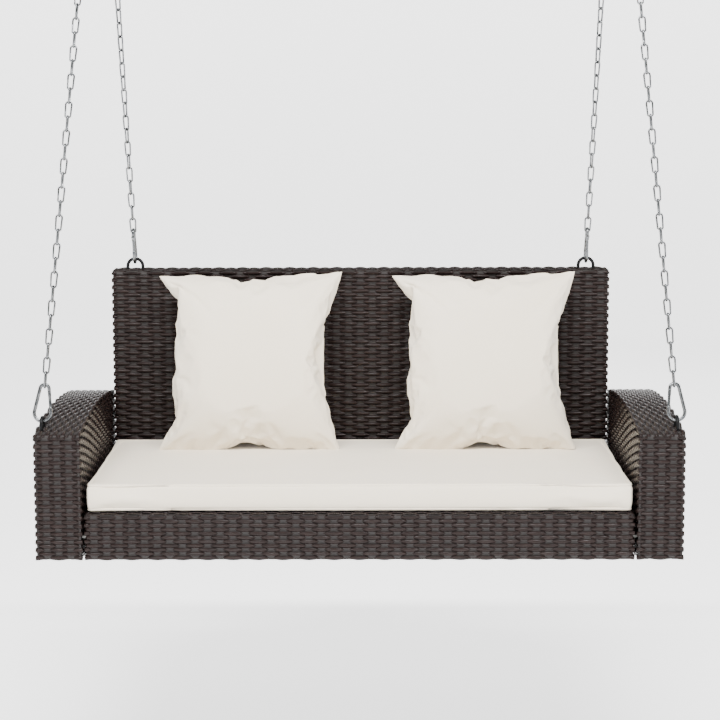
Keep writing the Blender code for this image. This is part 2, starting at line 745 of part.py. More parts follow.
def main():
    for old in list(bpy.data.objects):
        bpy.data.objects.remove(old)

    strand = material("woven_strand", (0.028, 0.021, 0.020), 0.38)
    frame_steel = material("frame_steel", (0.045, 0.045, 0.048), 0.5, 0.3)
    black_steel = material("black_steel", (0.02, 0.02, 0.022), 0.35, 0.4)
    zinc = material("bright_zinc", (0.74, 0.75, 0.76), 0.25, 1.0)
    bolt_zinc = material("bolt_zinc", (0.60, 0.61, 0.60), 0.35, 1.0)
    cloth = material("cream_cloth", (0.83, 0.79, 0.70), 0.9)

    swing_frame = bpy.data.objects.new("swing_frame", None)
    bpy.context.scene.collection.objects.link(swing_frame)
    swing_frame["place"] = (0.0, 0.0, 0.0)
    swing_frame.location = (0, -HANG_Y, -CEILING)

    swing = empty("swing_axis", (0, HANG_Y, HOOK_AXIS_HEIGHT), swing_frame)
    cushion_body = empty("cushion_lift_axis", (0, 0, SEAT_HEIGHT), swing)

    back_frame, back_weave = back_parts()
    seat_frame, seat_weave = seat_parts()
    piece("back_frame", back_frame, frame_steel, swing)
    piece("back_weave", back_weave, strand, swing)
    piece("seat_frame", seat_frame, frame_steel, swing)
    piece("seat_weave", seat_weave, strand, swing)
    for x, name in zip(BACK_BARS_X, ("left", "right")):
        rail_bolt = bolt((x, SEAT_REAR - SKIN - GAP - TUBE - GAP, BACK_RAIL_BOLT_Z), (0, 1, 0), BOLT_LENGTH)
        piece(f"back_rail_bolt_{name}", rail_bolt, bolt_zinc, swing)

    clip_body, clip_gate, clip_pin, clip_hinge = carabiner_meshes()
    for name, side in SIDES:
        arm_frame, arm_weave = arm_parts(side)
        piece(f"arm_frame_{name}", arm_frame, frame_steel, swing)
        piece(f"arm_weave_{name}", arm_weave, strand, swing)
        head_x = ARM_INNER_X + SKIN + GAP + TUBE + GAP
        for i, (y, z) in enumerate(ARM_BOLT_YZ + BACK_BOLT_YZ):
            kind = "arm_bolt" if i < len(ARM_BOLT_YZ) else "back_bolt"
            number = i + 1 if i < len(ARM_BOLT_YZ) else i + 1 - len(ARM_BOLT_YZ)
            mesh = bolt((side * head_x, y, z), (-side, 0, 0), BOLT_LENGTH)
            piece(f"{kind}_{name}_{number}", mesh, bolt_zinc, swing)

        ring_centre = Vector((side * RING_X, HANG_Y, RING_HEIGHT))
        circle = arc((0, 0), RING_RADIUS, 0, 2 * math.pi, 18)[:-1]
        ring_path = [ring_centre + Vector((0, u, v)) for u, v in circle]
        piece(f"top_ring_{name}", bar_along(ring_path, (1, 0, 0), RING_ROD, 6, closed=True), zinc, swing, 50)

        slope_rise = arm_top(LOOP_FRONT_Y + LOOP_RADIUS + LOOP_ROD) - arm_top(LOOP_FRONT_Y)
        front_foot = Vector((side * ARM_TUBE_X, LOOP_FRONT_Y, arm_top(LOOP_FRONT_Y)))
        back_foot = Vector((side * LOOP_BACK_X, LOOP_BACK_Y, BACK_HEIGHT))
        spots = (
            ("front", front_foot, Vector((0, 1, 0)), Vector((-side, 0, 0)), FRONT_LINKS, side * FRONT_TWIST),
            ("back", back_foot, Vector((1, 0, 0)), Vector((0, -1, 0)), BACK_LINKS, side * BACK_TWIST),
        )
        for place, foot, along, gate_side, links, twist in spots:
            leg = SKIN - LEG_GAP - (slope_rise if place == "front" else 0)
            piece(f"hanging_loop_{place}_{name}", loop_mesh(foot, along, leg), black_steel, swing, 50)
            loop_bar = foot + Vector((0, 0, LOOP_RISE - LOOP_ROD))
            up = (ring_centre - loop_bar).normalized()
            clip_foot = loop_bar - up * (LOOP_ROD + CLIP_ROD + CLIP_CONTACT)
            placed = frame_along(clip_foot, up, gate_side)
            hinge = placed @ clip_hinge.to_3d()
            gate_body = empty(f"gate_axis_{place}_{name}", hinge, swing)
            clip_pieces = (
                ("carabiner", clip_body, swing),
                ("carabiner_gate", clip_gate, gate_body),
                ("carabiner_rivet", clip_pin, swing),
            )
            for kind, mesh, body in clip_pieces:
                copy = mesh.copy()
                copy.transform(placed)
                piece(f"{kind}_{place}_{name}", copy, zinc, body, 50)
            last_bar = clip_foot + up * (CLIP_LENGTH - CLIP_ROD - LINK_WIRE - CLIP_CONTACT)
            in_ring = Vector((0, up.y, up.z)).normalized()
            first_bar = ring_centre - in_ring * (RING_RADIUS - RING_ROD - LINK_WIRE - RING_CONTACT)
            piece(f"chain_{place}_{name}", chain_leg(first_bar, last_bar, links, twist), zinc, swing)

        hook_axis = Vector((side * RING_X, HANG_Y, HOOK_AXIS_HEIGHT))
        plate_top = Vector((side * RING_X, HANG_Y, CEILING))
        piece(f"ceiling_hook_{name}", hook_mesh(side, hook_axis), zinc, swing_frame, 50)
        piece(f"ceiling_plate_{name}", ceiling_plate(plate_top), zinc, swing_frame)
        for place, y in (("front", -PLATE_HOLE_Y), ("back", PLATE_HOLE_Y)):
            screw = lag_screw(plate_top + Vector((0, y, -PLATE[2])))
            piece(f"lag_screw_{place}_{name}", screw, bolt_zinc, swing_frame)

    piece("seat_cushion", seat_cushion(), cloth, cushion_body)
    for name, x in (("left", PILLOW_LEFT_X), ("right", PILLOW_RIGHT_X)):
        pillow_body = empty(f"pillow_lift_axis_{name}", (x, PILLOW_FOOT_Y, SEAT_HEIGHT), cushion_body)
        piece(f"pillow_{name}", pillow(x), cloth, pillow_body, 60)


main()
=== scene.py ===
"""The looks of a two-seat woven porch swing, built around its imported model.

The strands, the chain, the rod fittings and the cushions are modelled here. The tube frames, bolts, screws,
plates, and the snap hooks' gates and rivets are the model's own, with better finishes. Sizes are in metres.
"""

import bisect
import contextlib
import itertools
import json
import math

import bmesh
import bpy
from mathutils import Matrix, Vector
from mathutils.bvhtree import BVHTree

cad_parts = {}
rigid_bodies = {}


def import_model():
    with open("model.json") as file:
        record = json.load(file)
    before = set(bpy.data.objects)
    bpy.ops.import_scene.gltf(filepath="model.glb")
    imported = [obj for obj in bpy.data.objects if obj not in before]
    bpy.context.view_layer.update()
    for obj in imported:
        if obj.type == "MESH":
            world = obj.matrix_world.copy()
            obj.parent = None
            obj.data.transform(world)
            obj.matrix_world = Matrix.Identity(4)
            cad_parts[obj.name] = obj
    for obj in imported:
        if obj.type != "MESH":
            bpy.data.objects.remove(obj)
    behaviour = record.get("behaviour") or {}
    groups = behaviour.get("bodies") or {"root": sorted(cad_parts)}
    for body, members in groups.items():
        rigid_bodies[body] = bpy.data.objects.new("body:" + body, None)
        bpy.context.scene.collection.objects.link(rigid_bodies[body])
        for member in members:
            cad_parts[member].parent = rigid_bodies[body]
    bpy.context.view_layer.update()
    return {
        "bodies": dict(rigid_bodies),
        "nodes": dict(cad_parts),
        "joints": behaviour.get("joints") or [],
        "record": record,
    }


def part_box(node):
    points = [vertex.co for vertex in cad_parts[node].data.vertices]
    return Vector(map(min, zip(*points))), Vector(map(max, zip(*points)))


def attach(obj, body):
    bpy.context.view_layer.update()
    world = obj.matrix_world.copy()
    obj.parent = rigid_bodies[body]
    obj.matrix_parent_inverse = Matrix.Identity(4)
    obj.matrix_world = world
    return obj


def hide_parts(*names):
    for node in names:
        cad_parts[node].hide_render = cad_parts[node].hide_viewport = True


# Woven strands: each passes in front of one stake and behind the next
ROW = 0.0079
STRAND_WIDTH = 0.0076
STRAND_THICKNESS = 0.0021
STRAND_SIDES = 5
STRAND_SWING = 0.0021
STRAND_SINK = 0.0025
STRAND_SWELL = 0.16
STEPS_PER_STAKE = 4
UNEVENNESS = 0.00022
# The dark shell of painted shade behind the strands: how far in it sits, and how thin it is
SHADE_SHELL_SINK = 0.0032
SHADE_SHELL_WALL = 0.00025
BACK_STAKE = 0.0262
SEAT_STAKE = 0.0248
ARM_STAKE = 0.0232
ARM_TOP_STAKE = 0.0262
PANEL_CORNER = 0.0038
TOP_BEND = 0.006
BEND_ANGLES = [math.radians(a) for a in (75, 50, 25, 0)]
ARM_RISE = 0.022
BACK_SPREAD = 0.0023
SEAT_SPREAD = 0.0015

# The room that side rows leave under a panel's top, the rows over the top, and the dark shell of painted
# shade inside
BACK_TOP_ROOM = 0.006
LOW_TOP_ROOM = 0.005
ROW_SLACK = 0.001
BACK_TOP_ROWS = 6
ARM_TOP_ROWS = 12
TOP_MARGIN = 0.001
SEAT_TOP_MARGIN = 0.002
LEVEL_STEPS = 20
ARCH_STEPS = 40
SHADE_SHELL_FOOT = 0.001
SHADE_SHELL_CUTS = 12
SHADE_SHELL_CORNER_STEPS = 3

# Rod fittings
ROD_END_ANGLES = [math.radians(a) for a in (15, 40, 65, 85)]
LOOP_ROD = 0.0035
LOOP_RADIUS = 0.0165
CLIP_ROD = 0.0035
CLIP_LENGTH = 0.073
CLIP_WIDE_RADIUS = 0.0165
CLIP_NARROW_RADIUS = 0.009
CLIP_CONTACT = 0.0008
GATE_NOSE_AT = 0.16
GATE_HINGE_AT = 0.84
HINGE_ROOM = 0.0045
RING_RADIUS = 0.020
RING_ROD = 0.003
RING_CONTACT = 0.0014
HOOK_ROD = 0.004
HOOK_RADIUS = 0.016
HOOK_TIP_ANGLE = math.radians(155)
HOOK_NECK_ANGLE = math.radians(50)
HOOK_SHANK = 0.006

# Chain
LINK_WIRE = 0.002
LINK_LENGTH = 0.036
LINK_WIDTH = 0.016
FRONT_LINKS = 46
BACK_LINKS = 36
FRONT_TWIST = 0.0
BACK_TWIST = math.radians(90)

# Cloth simulation
CLOTH_QUALITY = 5
CLOTH_MASS = 0.3
CLOTH_BENDING = 0.6

# Seat cushion
CUSHION_INSET = Vector((0.001, 0.002, 0.001))
CUSHION_VOXEL = 0.007
CUSHION_PRESSURE = 2.0
CUSHION_FRAMES = 20
CUSHION_STIFFNESS = 30
CUSHION_CROWN = 0.007
CUSHION_ROUND = 0.006
CUSHION_RIM_DROP = 0.003
CUSHION_RISE = 0.005
CUSHION_RISE_OVER = 0.13
CUSHION_FOOT_GAP = 0.0002
CUSHION_SIDE_BULGE = 0.001
CUSHION_FRONT_BULGE = 0.002
CUSHION_PIPING = 0.0031
CUSHION_EDGE = 0.0040
PIPING_SPACING = 0.012
PIPING_SINK_SHARE = 0.2
PIPING_RAY = 0.03

# Pillows
PILLOW_SIDE = 0.386
PILLOW_THICKNESS = 0.118
PILLOW_LEAN = math.radians(16.5)
PILLOW_CUT = 0.420
PILLOW_WIDTH = 0.396
PILLOW_SIDE_BOW = 0.035
PILLOW_TOP_BOW = 0.060
PILLOW_FOOT_BOW = 0.105
PILLOW_SETTLE = 0.006
PILLOW_VOXEL = 0.006
PILLOW_SEAM = 0.0011
PILLOW_SEAM_POINTS = 260
SEAM_RAY = 1.6
PILLOW_BLANK = 0.02
PILLOW_CUTS = 9
PILLOW_RIM_SHARE = 0.45
PILLOW_DOME = 3.2
PILLOW_PRESSURE = 5.0
PILLOW_FRAMES = 34
PILLOW_CAP = 0.06
PILLOW_STIFFNESS = 25

# Camera, from the middle of the seat's underside
CAMERA_PLACE = Vector((0.0273, -4.2196, 0.9754))
CAMERA_DOWN = math.radians(8.324)
CAMERA_YAW = math.radians(-0.366)
CAMERA_ROLL = math.radians(-0.152)
CAMERA_LENS = 102.4
CAMERA_SENSOR = 36.0

# Studio. Lights are placed from the ceiling over the seat's middle, and aim above the seat's underside
FLOOR_DROP = 0.42
SWEEP_RADIUS = 6.5
SWEEP_SIDES = 96
SWEEP_BEND = 2.0
SWEEP_STEPS = 8
PAPER_GLOW = 1.6
LIGHTS = (
    # Name, place, size, watts, and the height that it aims at
    ("overhead", (0.0, -1.5, 1.3), (4.2, 0.22), 300, 0.0),
    ("front_fill", (-0.4, -5.6, 0.2), (4.0, 2.4), 150, 0.2),
    ("rear_fill", (1.2, 4.6, 0.6), (3.0, 2.4), 60, 0.2),
)
SKY_STRENGTH = 0.8

# Colours, darker and lighter
STRAND_COLOURS = ((0.0075, 0.0047, 0.0043), (0.0185, 0.0115, 0.0103))
# Painted shade: the dark shell behind the strands stands in for the shade inside the weave
PAINTED_SHADE_COLOURS = ((0.009, 0.0065, 0.006), (0.016, 0.012, 0.011))
FRAME_COLOURS = ((0.030, 0.030, 0.032), (0.075, 0.074, 0.075))
ENAMEL_COLOURS = ((0.006, 0.006, 0.0065), (0.025, 0.024, 0.024))
BRIGHT_COLOURS = ((0.085, 0.090, 0.095), (0.24, 0.245, 0.25))
CEILING_COLOURS = ((0.16, 0.165, 0.17), (0.34, 0.34, 0.345))
BOLT_COLOURS = ((0.18, 0.18, 0.17), (0.36, 0.36, 0.34))
CLOTH_COLOURS = ((0.74, 0.65, 0.51), (0.80, 0.72, 0.59))
PAPER_COLOURS = ((0.93, 0.93, 0.93), (0.96, 0.96, 0.96))

NEAR = 0.0001
VERY_NEAR = 0.00001
SIDES = (("left", -1), ("right", 1))
UP = Vector((0, 0, 1))
ASIDE = Vector((1, 0, 0))
ACROSS = Vector((0, 1, 0))
UNIT = Vector((1, 1, 1))

# How a circle is turned to become the section of a strand that runs along X
UPRIGHT_SECTION = Matrix(((0, 0, 1), (0, -1, 0), (1, 0, 0)))
LEVEL_SECTION = Matrix(((0, 0, 1), (1, 0, 0), (0, 1, 0)))


# ---- Working with one object at a time


def only(obj):
    """Select this object and no other."""
    bpy.ops.object.select_all(action="DESELECT")
    obj.select_set(True)
    bpy.context.view_layer.objects.active = obj


def new_piece(name):
    """Name the primitive that has just been added, with its place moved into its mesh."""
    obj = bpy.context.active_object
    only(obj)
    bpy.ops.object.transform_apply(location=True, rotation=True, scale=True)
    obj.name = name
    obj.data.name = name
    return obj


@contextlib.contextmanager
def editing(obj):
    """Edit mode on one object, at first with all of it selected."""
    only(obj)
    bpy.ops.object.mode_set(mode="EDIT")
    bpy.ops.mesh.select_all(action="SELECT")
    yield
    bpy.ops.object.mode_set(mode="OBJECT")


def pick(obj, kind, wanted):
    """In edit mode, select only the parts of a kind whose middle passes the test."""
    bpy.ops.mesh.select_all(action="DESELECT")
    grid = bmesh.from_edit_mesh(obj.data)
    for item in getattr(grid, kind):
        middle = item.co if kind == "verts" else sum((v.co for v in item.verts), Vector()) / len(item.verts)
        if wanted(middle):
            item.select_set(True)
    grid.select_flush_mode()
    bmesh.update_edit_mesh(obj.data)


def finish_mesh(obj, merge=None):
    """Merge doubled corners, point the faces outwards and smooth the shading."""
    with editing(obj):
        if merge:
            bpy.ops.mesh.remove_doubles(threshold=merge)
        bpy.ops.mesh.normals_make_consistent(inside=False)
    bpy.ops.object.shade_smooth()
    return obj


def applied(obj, kind, **settings):
    """Add a modifier, set it and apply it."""
    only(obj)
    bpy.ops.object.modifier_add(type=kind)
    modifier = obj.modifiers[-1]
    for name, value in settings.items():
        setattr(modifier, name, value)
    bpy.ops.object.modifier_apply(modifier=modifier.name)


def joined(name, objects):
    """One object out of several."""
    only(objects[0])
    for obj in objects:
        obj.select_set(True)
    if len(objects) > 1:
        bpy.ops.object.join()
    objects[0].name = name
    objects[0].data.name = name
    return objects[0]


def stand_in(obj, finish, slot, body, *nodes):
    """Give a finished piece its finish and its body, and hide the nodes that it stands for."""
    obj.data.materials.clear()
    obj.data.materials.append(finish)
    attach(obj, body)
    if nodes:
        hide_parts(*nodes)


# ---- Finishes


class Value:
    """A socket of a finish. Adding to it or multiplying it makes a Math node."""

    def __init__(self, finish, socket):
        self.finish = finish
        self.socket = socket

    def reckoned(self, operation, other):
        return self.finish.node("ShaderNodeMath", {"operation": operation}, {0: self, 1: other})

    def __add__(self, other):
        return self.reckoned("ADD", other)

    def __mul__(self, other):
        return self.reckoned("MULTIPLY", other)


class Finish:
    """A material in the making."""

    def __init__(self, name, **shader_values):
        self.material = bpy.data.materials.new(name)
        self.material.use_nodes = True
        self.nodes = self.material.node_tree.nodes
        self.shader = self.nodes["Principled BSDF"]
        for socket, value in shader_values.items():
            self.shader.inputs[socket.replace("_", " ")].default_value = value
        self.place = self.node("ShaderNodeTexCoord", {}, {}, "Object")

    def node(self, kind, settings, values, output=0):
        made = self.nodes.new(kind)
        for name, value in settings.items():
            setattr(made, name, value)
        for key, value in values.items():
            self.link(made.inputs[key], value)
        return Value(self, made.outputs[output])

    def link(self, socket, value):
        if isinstance(value, Value):
            self.material.node_tree.links.new(value.socket, socket)
        else:
            socket.default_value = value

    def stretched(self, scale):
        return self.node("ShaderNodeMapping", {}, {"Vector": self.place, "Scale": scale})

    def noise(self, scale, detail=2.0, stretch=(1, 1, 1), roughness=0.5):
        values = {"Vector": self.stretched(stretch), "Scale": scale, "Detail": detail, "Roughness": roughness}
        return self.node("ShaderNodeTexNoise", {}, values)

    def waves(self, direction, period):
        """Bands that run across an axis, one each period."""
        settings = {"wave_type": "BANDS", "bands_direction": direction, "wave_profile": "SIN"}
        values = {"Vector": self.place, "Scale": math.pi / (10 * period)}
        return self.node("ShaderNodeTexWave", settings, values, 1)

    def between(self, amount, low, high):
        """A number that follows an amount from 0 to 1."""
        return amount * (high - low) + low

    def shade(self, amount, colours):
        """A colour between two, by an amount from 0 to 1."""
        mix = self.nodes.new("ShaderNodeMix")
        mix.data_type = "RGBA"
        self.link(mix.inputs[0], amount)
        mix.inputs[6].default_value = (*colours[0], 1)
        mix.inputs[7].default_value = (*colours[1], 1)
        return Value(self, mix.outputs[2])

    def contrast(self, amount, low, high):
        """The amount, spread so that low becomes 0 and high becomes 1."""
        values = {"Value": amount, "From Min": low, "From Max": high}
        return self.node("ShaderNodeMapRange", {"clamp": True}, values)

    def set(self, socket, value):
        self.link(self.shader.inputs[socket], value)

    def bump(self, height, strength, distance):
        values = {"Height": height, "Strength": strength, "Distance": distance}
        self.set("Normal", self.node("ShaderNodeBump", {}, values))


def strand_finish(name, across, fineness):
    """Extruded plastic strand: espresso brown, faint lengthwise ribs, a soft sheen that varies.

    The ribs follow each other along the axis across. The tones are that much finer along X, Y and Z.
    """
    finish = Finish(name, IOR=1.5, Specular_IOR_Level=0.13)
    tone = finish.contrast(finish.noise(26, 3, fineness), 0.32, 0.68)
    streak = finish.contrast(finish.noise(90, 2, fineness), 0.3, 0.7)
    finish.set("Base Color", finish.shade(tone * 0.7 + streak * 0.3, STRAND_COLOURS))
    finish.set("Roughness", finish.between(streak, 0.20, 0.30))
    ribs = finish.waves(across, 0.0013)
    finish.bump(ribs * 0.5 + finish.noise(300, 2) * 0.5, 0.2, 0.0003)
    return finish.material


def painted_shade_finish():
    """Painted shade: the dark colour of the shell that stands in for the shade in the insides of the weave.
    """
    finish = Finish("weave_shade")
    tone = finish.noise(60, 2)
    finish.set("Base Color", finish.shade(tone, PAINTED_SHADE_COLOURS))
    finish.set("Roughness", finish.between(tone, 0.6, 0.8))
    finish.bump(finish.waves("Z", ROW), 0.4, 0.001)
    return finish.material


def coated_steel_finish(name, colours, rough):
    """Powder-coated steel: a fine orange-peel skin with small scuffs."""
    finish = Finish(name, IOR=1.5, Specular_IOR_Level=0.1)
    scuffs = finish.contrast(finish.noise(70, 5, roughness=0.7), 0.56, 0.68)
    finish.set("Base Color", finish.shade(scuffs, colours))
    finish.set("Roughness", finish.between(scuffs, rough, rough + 0.2))
    finish.bump(finish.noise(900, 2), 0.25, 0.0003)
    return finish.material


def zinc_finish(name, colours, smooth, dull):
    """Zinc-plated steel: bright, with cloudy duller patches and fine drawing marks."""
    finish = Finish(name, Metallic=1.0)
    clouds = finish.contrast(finish.noise(120, 4, roughness=0.6), 0.35, 0.7)
    finish.set("Base Color", finish.shade(clouds, colours))
    finish.set("Roughness", finish.between(clouds, smooth, dull))
    finish.bump(finish.noise(700, 3), 0.2, 0.0002)
    return finish.material


def cloth_finish(name, colours):
    """Cream outdoor cloth: a plain weave, faint slubs and a soft fuzzy edge."""
    finish = Finish(name, Sheen_Weight=0.35, Sheen_Roughness=0.5, Specular_IOR_Level=0.25)
    clouds = finish.noise(9, 3)
    slubs = finish.contrast(finish.noise(260, 2, (1, 1, 5)), 0.35, 0.75)
    finish.set("Base Color", finish.shade(clouds * 0.7 + slubs * 0.3, colours))
    finish.set("Roughness", finish.between(slubs, 0.82, 0.95))
    weave = finish.waves("X", 0.0011) + finish.waves("Z", 0.0011) + finish.waves("Y", 0.0011)
    finish.bump(weave * 0.25 + slubs * 0.4, 0.35, 0.0005)
    return finish.material


# ---- Woven panels


def strand_pair(stake, upright):
    """Two neighbouring rows over one period, set so that one bulges where the other dips.

    Strands run along X. Upright ones face -Y and stack in Z, and the others face +Z and stack in Y.
    """
    out = Vector((0, -1, 0)) if upright else UP
    stack = UP if upright else ACROSS
    turned = UPRIGHT_SECTION if upright else LEVEL_SECTION
    size = UNIT + stack * (STRAND_WIDTH - 1) - Vector([abs(v) for v in out]) * (1 - STRAND_THICKNESS)
    forward = Vector((stake / STEPS_PER_STAKE, 0, 0))
    rows = []
    for row in (0, 1):
        bpy.ops.mesh.primitive_circle_add(vertices=STRAND_SIDES, radius=0.5)
        strand = new_piece("strand")
        strand.data.transform(turned.to_4x4())
        bulges = [math.cos(math.pi * (k / STEPS_PER_STAKE + row)) for k in range(2 * STEPS_PER_STAKE + 1)]
        widths = [1 + STRAND_SWELL * bulge for bulge in bulges]
        centre = stack * (ROW * (row + 0.5)) + out * (STRAND_SWING * bulges[0] - STRAND_SINK)
        with editing(strand):
            bpy.ops.transform.resize(value=size, center_override=(0, 0, 0))
            bpy.ops.transform.translate(value=centre)
            bpy.ops.transform.resize(value=UNIT + stack * (widths[0] - 1), center_override=centre)
            for k in range(1, len(bulges)):
                move = forward + out * STRAND_SWING * (bulges[k] - bulges[k - 1])
                centre = centre + move
                wider = UNIT + stack * (widths[k] / widths[k - 1] - 1)
                bpy.ops.mesh.extrude_region_move(TRANSFORM_OT_translate={"value": move})
                bpy.ops.transform.resize(value=wider, center_override=centre)
        rows.append(strand)
    return joined("strand_pair", rows), stack


def repeated(field, step, count, **settings):
    """Copies of a field, each a step from the last."""
    applied(field, "ARRAY", use_relative_offset=False, use_constant_offset=True,
            constant_offset_displace=step, count=count, **settings)


def strand_field(name, length, stake, rows, row_pitch, upright):
    """Rows of strands side by side, flat, starting at the origin. The period is fitted to the length."""
    periods = max(1, round(length / (2 * stake)))
    stake = length / (2 * periods)
    field, stack = strand_pair(stake, upright)
    repeated(field, (2 * stake, 0, 0), periods, use_merge_vertices=True, merge_threshold=NEAR)
    repeated(field, stack * (2 * ROW), math.ceil(rows / 2))
    if rows % 2:
        with editing(field):
            pick(field, "verts", lambda co: co.dot(stack) > rows * ROW)
            bpy.ops.mesh.delete(type="VERT")
    stretch = UNIT + stack * (row_pitch / ROW - 1)
    field.data.transform(Matrix.Diagonal((*stretch, 1)))
    field.name = name
    return field


def follow(field, points, stack):
    """Bend a flat field along a path, its X along the path. Its rows keep their places along the stack.

    Upright rows face the path's right, and the others face up. A path that ends where it starts is a loop.
    """
    upright = stack.z > 0
    looped = (points[-1] - points[0]).length < NEAR
    spans = [b - a for a, b in zip(points, points[1:])]
    marks = [0.0, *itertools.accumulate(span.length for span in spans)]
    faces = [span.cross(stack).normalized() for span in spans]
    if not upright:
        faces = [-face if face.z < 0 else face for face in faces]
    before = [faces[-1] if looped else faces[0], *faces]
    after = [*faces, faces[0] if looped else faces[-1]]
    turns = [(a + b).normalized() for a, b in zip(before, after)]
    for vertex in field.data.vertices:
        place = vertex.co
        reach = min(max(place.x, 0.0), marks[-1])
        k = min(bisect.bisect_right(marks, reach), len(marks) - 1) - 1
        share = (reach - marks[k]) / (marks[k + 1] - marks[k])
        out = turns[k].lerp(turns[k + 1], share).normalized() * (-place.y if upright else place.z)
        along = stack * (place.z if upright else place.y)
        vertex.co = points[k].lerp(points[k + 1], share) + out + along


def length_of(points):
    """How long a path is."""
    return sum((b - a).length for a, b in zip(points, points[1:]))


def corner(centre, start, radius, steps=4):
    """A quarter turn of points about a centre, anticlockwise from an angle."""
    return [
        Vector((centre[0] + radius * math.cos(start + k * math.pi / (2 * steps)),
                centre[1] + radius * math.sin(start + k * math.pi / (2 * steps)), 0))
        for k in range(steps + 1)
    ]


def outline_round(low, high, radius):
    """A rounded rectangle seen from above, anticlockwise from the middle of its rear side."""
    quarter = math.pi / 2
    points = [Vector(((low.x + high.x) / 2, high.y, 0))]
    points += corner((low.x + radius, high.y - radius), quarter, radius)
    points += corner((low.x + radius, low.y + radius), 2 * quarter, radius)
    points += corner((high.x - radius, low.y + radius), 3 * quarter, radius)
    points += corner((high.x - radius, high.y - radius), 0, radius)
    return points


def close_ends(field):
    """Fill the open ends of strands."""
    with editing(field):
        bpy.ops.mesh.region_to_loop()
        bpy.ops.mesh.edge_face_add()


def unsettle(field, seed):
    """Small unevenness, as hand weaving leaves."""
    with editing(field):
        bpy.ops.transform.vertex_random(offset=UNEVENNESS, seed=seed)


def ring_rows(name, low, high, stake, first_row, rows, pitch, seed, spread=0.0):
    """Level rows of strand all round a panel's upright sides."""
    spread = Vector((spread, 0, 0))
    points = outline_round(low - spread, high + spread, PANEL_CORNER)
    points.append(points[0])
    field = strand_field(name, length_of(points), stake, rows, pitch, True)
    follow(field, points, UP)
    field.data.transform(Matrix.Translation((0, 0, low.z + first_row * pitch)))
    finish_mesh(field, NEAR)
    unsettle(field, seed)
    return field


def cap_rows(name, points, stake, rows, pitch, stack, seed):
    """Rows of strand over a panel's top, side by side about a path. The stack is the way across them."""
    field = strand_field(name, length_of(points), stake, rows, pitch, False)
    field.data.transform(Matrix.Translation((0, -rows * pitch / 2, 0)))
    follow(field, points, stack)
    close_ends(field)
    finish_mesh(field)
    unsettle(field, seed)
    return field


def at_corner(place, low, high, reach):
    """Whether a place is near one of a box's four upright edges."""
    return (min(abs(place.x - low.x), abs(place.x - high.x)) < reach
            and min(abs(place.y - low.y), abs(place.y - high.y)) < reach)


def painted_shade_shell(name, low, high, shape=None):
    """Painted shade inside the weave: a thin dark shell, open below, just behind the strands."""
    low = low + Vector((SHADE_SHELL_SINK, SHADE_SHELL_SINK, SHADE_SHELL_FOOT))
    high = high - UNIT * SHADE_SHELL_SINK
    bpy.ops.mesh.primitive_cube_add(size=1, location=(low + high) / 2, scale=high - low)
    shell = new_piece(name)
    with editing(shell):
        if shape:
            for k in range(1, SHADE_SHELL_CUTS):
                y = low.y + (high.y - low.y) * k / SHADE_SHELL_CUTS
                bpy.ops.mesh.select_all(action="SELECT")
                bpy.ops.mesh.bisect(plane_co=(0, y, 0), plane_no=(0, 1, 0))
        pick(shell, "faces", lambda co: co.z < low.z + NEAR)
        bpy.ops.mesh.delete(type="FACE")
        pick(shell, "edges", lambda co: at_corner(co, low, high, NEAR))
        bpy.ops.mesh.bevel(offset=PANEL_CORNER - SHADE_SHELL_SINK, segments=SHADE_SHELL_CORNER_STEPS)
    if shape:
        shape(shell)
    applied(shell, "SOLIDIFY", thickness=SHADE_SHELL_WALL, offset=-1)
    return shell


# ---- Rods, chain and hooks


def arc(centre, radius, start, end, steps):
    """Flat points round a centre, from one angle to another."""
    return [
        Vector((centre[0] + radius * math.cos(start + (end - start) * k / steps),
                centre[1] + radius * math.sin(start + (end - start) * k / steps)))
        for k in range(steps + 1)
    ]


def rod(name, points, radius, closed=False, sides=12):
    """A round rod along a path, with rounded ends."""
    curve = bpy.data.curves.new(name, "CURVE")
    curve.dimensions = "3D"
    curve.twist_mode = "MINIMUM"
    curve.bevel_depth = radius
    curve.bevel_resolution = (sides - 4) // 2
    curve.use_fill_caps = not closed
    spline = curve.splines.new("POLY")
    if not closed:
        first = (points[0] - points[1]).normalized() * radius
        last = (points[-1] - points[-2]).normalized() * radius
        head = [points[0] + first * math.sin(a) for a in reversed(ROD_END_ANGLES)]
        tail = [points[-1] + last * math.sin(a) for a in ROD_END_ANGLES]
        narrowing = [math.cos(a) for a in ROD_END_ANGLES]
        widths = narrowing[::-1] + [1.0] * len(points) + narrowing
        points = head + list(points) + tail
    else:
        widths = [1.0] * len(points)
    spline.points.add(len(points) - 1)
    for point, place, width in zip(spline.points, points, widths):
        point.co = (*place, 1)
        point.radius = width
    spline.use_cyclic_u = closed
    obj = bpy.data.objects.new(name, curve)
    bpy.context.scene.collection.objects.link(obj)
    only(obj)
    bpy.ops.object.convert(target="MESH")
    return finish_mesh(obj, VERY_NEAR)


def corners(node):
    """The low and the high corner of a node's box."""
    return [Vector(corner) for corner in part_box(node)]


def middle(node):
    low, high = corners(node)
    return (low + high) / 2


def frame_along(origin, along, across):
    """The matrix that carries X to along, Y to the nearest direction to across, and the origin to a point."""
    along = along.normalized()
    across = (across - along * across.dot(along)).normalized()
    matrix = Matrix((along, across, along.cross(across))).transposed().to_4x4()
    matrix.translation = origin
    return matrix


def chain_link():
    """One oval link of round wire, its length along X from its first end bar, and its width along Y."""
    bend = LINK_WIDTH / 2 - LINK_WIRE
    bpy.ops.mesh.primitive_torus_add(
        major_radius=bend, minor_radius=LINK_WIRE, major_segments=12, minor_segments=5,
        location=(bend, 0, 0),
    )
    link = new_piece("chain_link")
    with editing(link):
        pick(link, "verts", lambda co: co.x > bend + VERY_NEAR)
        bpy.ops.transform.translate(value=(LINK_LENGTH - LINK_WIDTH, 0, 0))
    bpy.ops.object.shade_smooth()
    return link


